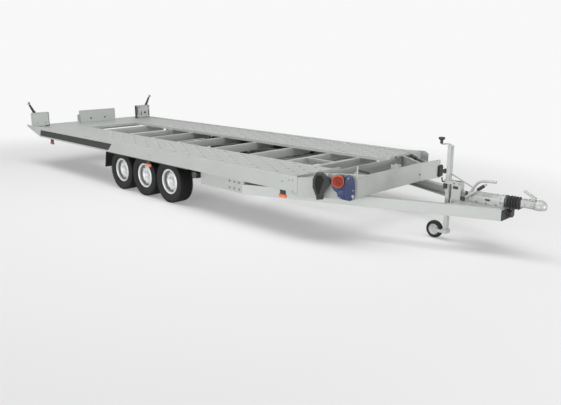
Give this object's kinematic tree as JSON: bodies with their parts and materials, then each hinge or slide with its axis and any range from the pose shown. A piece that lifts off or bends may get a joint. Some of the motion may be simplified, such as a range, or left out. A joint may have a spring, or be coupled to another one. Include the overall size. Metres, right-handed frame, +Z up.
{
  "type": "tilting car trailer",
  "caption": "Tilting car trailer with two sheet runways on a galvanised chassis, drawbar with overrun coupling, jockey wheel, winch and rear lamp boxes.",
  "frame": {"origin": "on the ground, under the middle of the overall length", "axes": "+X forward to the coupling, +Y to the trailer's left, +Z up"},
  "size_m": [8.232, 2.348, 1.055],
  "materials": {
    "galvanised": "galvanised, satin",
    "tyre": "matte",
    "rim": "silver, satin",
    "black_plastic": "matte",
    "black_rubber": "matte",
    "winch_blue": "satin",
    "disc_red": "satin",
    "coupling_grey": "satin",
    "chrome_rod": "polished"
  },
  "bodies": {
    "chassis": {"side_rails": "galvanised", "a_frame": "galvanised", "chassis_crossmembers": "galvanised", "axles": "galvanised", "mudguards": "black_plastic", "overrun_unit": "galvanised", "bellows": "black_rubber", "coupling_head": "coupling_grey", "coupling_handle": "coupling_grey", "plug_holder": "black_plastic", "handbrake_lever": "galvanised", "gas_strut": "black_plastic", "brake_rod": "galvanised", "jockey_tube": "galvanised"},
    "bed": {"runways": "galvanised", "side_skirts": "galvanised", "tail_plate": "galvanised", "bed_crossmembers": "galvanised", "front_plate": "galvanised", "front_beam": "galvanised", "winch_bracket": "galvanised", "winch": "winch_blue", "winch_disc": "disc_red", "wheel_chock": "black_plastic", "lamp_boxes": "galvanised", "plate_panel": "galvanised", "marker_stalks": "black_rubber", "side_lamps": "black_plastic"},
    "ram_barrel": {"ram_barrel": "black_plastic"},
    "ram_rod": {"ram_rod": "chrome_rod"},
    "jockey_leg": {"jockey_leg": "galvanised"},
    "jockey_fork": {"jockey_fork": "galvanised"},
    "jockey_wheel": {"jockey_wheel": "black_rubber"},
    "wheel_front_left": {"tyre_front_left": "tyre", "rim_front_left": "rim"},
    "wheel_front_right": {"tyre_front_right": "tyre", "rim_front_right": "rim"},
    "wheel_middle_left": {"tyre_middle_left": "tyre", "rim_middle_left": "rim"},
    "wheel_middle_right": {"tyre_middle_right": "tyre", "rim_middle_right": "rim"},
    "wheel_rear_left": {"tyre_rear_left": "tyre", "rim_rear_left": "rim"},
    "wheel_rear_right": {"tyre_rear_right": "tyre", "rim_rear_right": "rim"}
  },
  "joints": [
    {"name": "bed_tilt", "type": "hinge", "parent": "chassis", "child": "bed", "pos_m": [-1.636, 0, 0.53], "axis": [0, -1, 0], "range_deg": [0, 14]},
    {"name": "ram_lean", "type": "hinge", "parent": "chassis", "child": "ram_barrel", "pos_m": [-0.948, 0, 0.28], "axis": [0, -1, 0], "range_deg": [0, 4]},
    {"name": "ram_extend", "type": "slide", "parent": "ram_barrel", "child": "ram_rod", "axis": [0, 0, 1], "range_m": [0, 0.17]},
    {"name": "jockey_raise", "type": "slide", "parent": "chassis", "child": "jockey_leg", "axis": [0, 0, 1], "range_m": [0, 0.38]},
    {"name": "jockey_swivel", "type": "hinge", "parent": "jockey_leg", "child": "jockey_fork", "pos_m": [3.14, 0, 0.12], "axis": [0, 0, 1], "range_deg": [-90, 90]},
    {"name": "jockey_spin", "type": "hinge", "parent": "jockey_fork", "child": "jockey_wheel", "pos_m": [3.015, 0, 0.09], "axis": [0, 1, 0], "continuous": true},
    {"name": "wheel_front_left_spin", "type": "hinge", "parent": "chassis", "child": "wheel_front_left", "pos_m": [-0.131, 0.9675, 0.2695], "axis": [0, 1, 0], "continuous": true},
    {"name": "wheel_front_right_spin", "type": "hinge", "parent": "chassis", "child": "wheel_front_right", "pos_m": [-0.131, -0.9675, 0.2695], "axis": [0, 1, 0], "continuous": true},
    {"name": "wheel_middle_left_spin", "type": "hinge", "parent": "chassis", "child": "wheel_middle_left", "pos_m": [-0.686, 0.9675, 0.2695], "axis": [0, 1, 0], "continuous": true},
    {"name": "wheel_middle_right_spin", "type": "hinge", "parent": "chassis", "child": "wheel_middle_right", "pos_m": [-0.686, -0.9675, 0.2695], "axis": [0, 1, 0], "continuous": true},
    {"name": "wheel_rear_left_spin", "type": "hinge", "parent": "chassis", "child": "wheel_rear_left", "pos_m": [-1.241, 0.9675, 0.2695], "axis": [0, 1, 0], "continuous": true},
    {"name": "wheel_rear_right_spin", "type": "hinge", "parent": "chassis", "child": "wheel_rear_right", "pos_m": [-1.241, -0.9675, 0.2695], "axis": [0, 1, 0], "continuous": true}
  ],
  "couplings": [
    {"joint": "ram_lean", "follows": "bed_tilt", "ratio": 0.25405},
    {"joint": "ram_extend", "follows": "bed_tilt", "m_per_rad": 0.68105}
  ]
}
